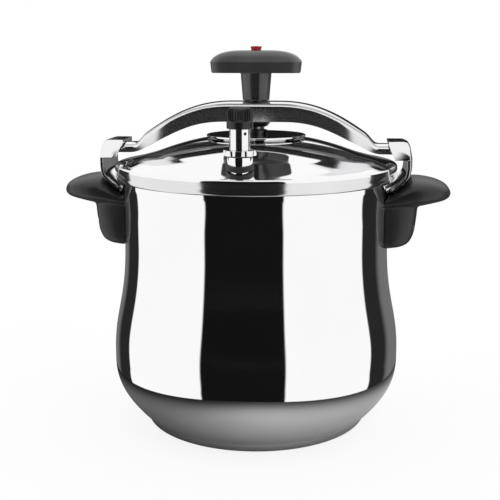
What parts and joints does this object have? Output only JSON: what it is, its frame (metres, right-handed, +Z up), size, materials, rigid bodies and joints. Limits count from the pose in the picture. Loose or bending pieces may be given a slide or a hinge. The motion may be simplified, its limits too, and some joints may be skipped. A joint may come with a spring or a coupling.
{
  "type": "yoke-closure pressure cooker",
  "caption": "Belly-shaped stainless pressure cooker with a domed lid, a yoke screwed down by a T-knob between two hooks, a regulator valve and side handles.",
  "frame": {"origin": "centre of the flat underside of the base", "axes": "+Z up out of the pot; the two handles, the hooks and the yoke lie along X; the regulator valve is on the -Y side"},
  "size_m": [0.327, 0.2452, 0.3179],
  "materials": {
    "polished_steel": "mirror-polished stainless steel",
    "lid_steel": "mirror-polished stainless steel",
    "base_steel": "finely turned stainless steel",
    "aluminium_core": "plain pressed aluminium",
    "hook_steel": "polished bent stainless strip",
    "yoke_steel": "polished pressed stainless channel",
    "zinc_steel": "bright zinc-plated steel",
    "spindle_steel": "turned steel",
    "black_phenolic": "moulded black phenolic, satin",
    "knob_phenolic": "moulded black phenolic, satin",
    "valve_cap_black": "moulded black, semi-gloss",
    "valve_steel": "turned and polished",
    "brass": "turned brass",
    "seal_rubber": "moulded silicone rubber",
    "red_plastic": "gloss red plastic"
  },
  "bodies": {
    "pot": {"pot_body": "polished_steel", "base_core": "aluminium_core", "base_cap": "base_steel", "hook_left": "hook_steel", "hook_right": "hook_steel", "handle_left": "black_phenolic", "handle_right": "black_phenolic", "handle_nuts": "zinc_steel", "handle_screws": "zinc_steel"},
    "lid": {"lid": "lid_steel", "lid_centre_plate": "lid_steel", "lid_gasket": "seal_rubber", "valve_body": "valve_steel", "valve_seal": "seal_rubber", "valve_skirt": "seal_rubber", "valve_nut": "zinc_steel", "safety_body": "valve_steel", "safety_seal": "seal_rubber", "safety_nut": "zinc_steel", "safety_spring": "spindle_steel", "safety_crown": "valve_steel"},
    "regulator_weight": {"valve_weight": "brass"},
    "regulator_head": {"valve_sleeve": "valve_steel", "valve_cap": "valve_cap_black"},
    "safety_pin": {"safety_pin": "brass"},
    "foot": {"pressure_foot": "zinc_steel", "foot_clip": "spindle_steel"},
    "screw": {"spindle": "spindle_steel", "knob": "knob_phenolic", "knob_screw": "zinc_steel", "knob_button": "red_plastic"},
    "yoke": {"yoke": "yoke_steel", "yoke_nut": "zinc_steel"}
  },
  "joints": [
    {"name": "lid_turn", "type": "hinge", "parent": "pot", "child": "lid", "pos_m": [0, 0, 0.22], "axis": [0, 0, 1], "range_deg": [-45, 45]},
    {"name": "regulator_lift", "type": "slide", "parent": "lid", "child": "regulator_weight", "axis": [0, 0, 1], "range_m": [0, 0.012]},
    {"name": "regulator_spin", "type": "hinge", "parent": "regulator_weight", "child": "regulator_head", "pos_m": [-0.004, -0.095, 0.2535], "axis": [0, 0, 1], "continuous": true},
    {"name": "safety_lift", "type": "slide", "parent": "lid", "child": "safety_pin", "axis": [0, 0, 1], "range_m": [0, 0.0015], "stiffness_N_per_m": 500, "springref_m": -0.004, "deforming": ["safety_spring"]},
    {"name": "yoke_shift", "type": "slide", "parent": "pot", "child": "foot", "axis": [1, 0, 0], "range_m": [-0.007, 0.007]},
    {"name": "knob_turn", "type": "hinge", "parent": "foot", "child": "screw", "pos_m": [0, 0, 0.26], "axis": [0, 0, 1], "range_deg": [0, 216.5]},
    {"name": "yoke_drop", "type": "slide", "parent": "foot", "child": "yoke", "axis": [0, 0, -1], "range_m": [0, 0.0024]}
  ],
  "couplings": [
    {"joint": "knob_turn", "follows": "yoke_drop", "rad_per_m": 1570.8}
  ]
}
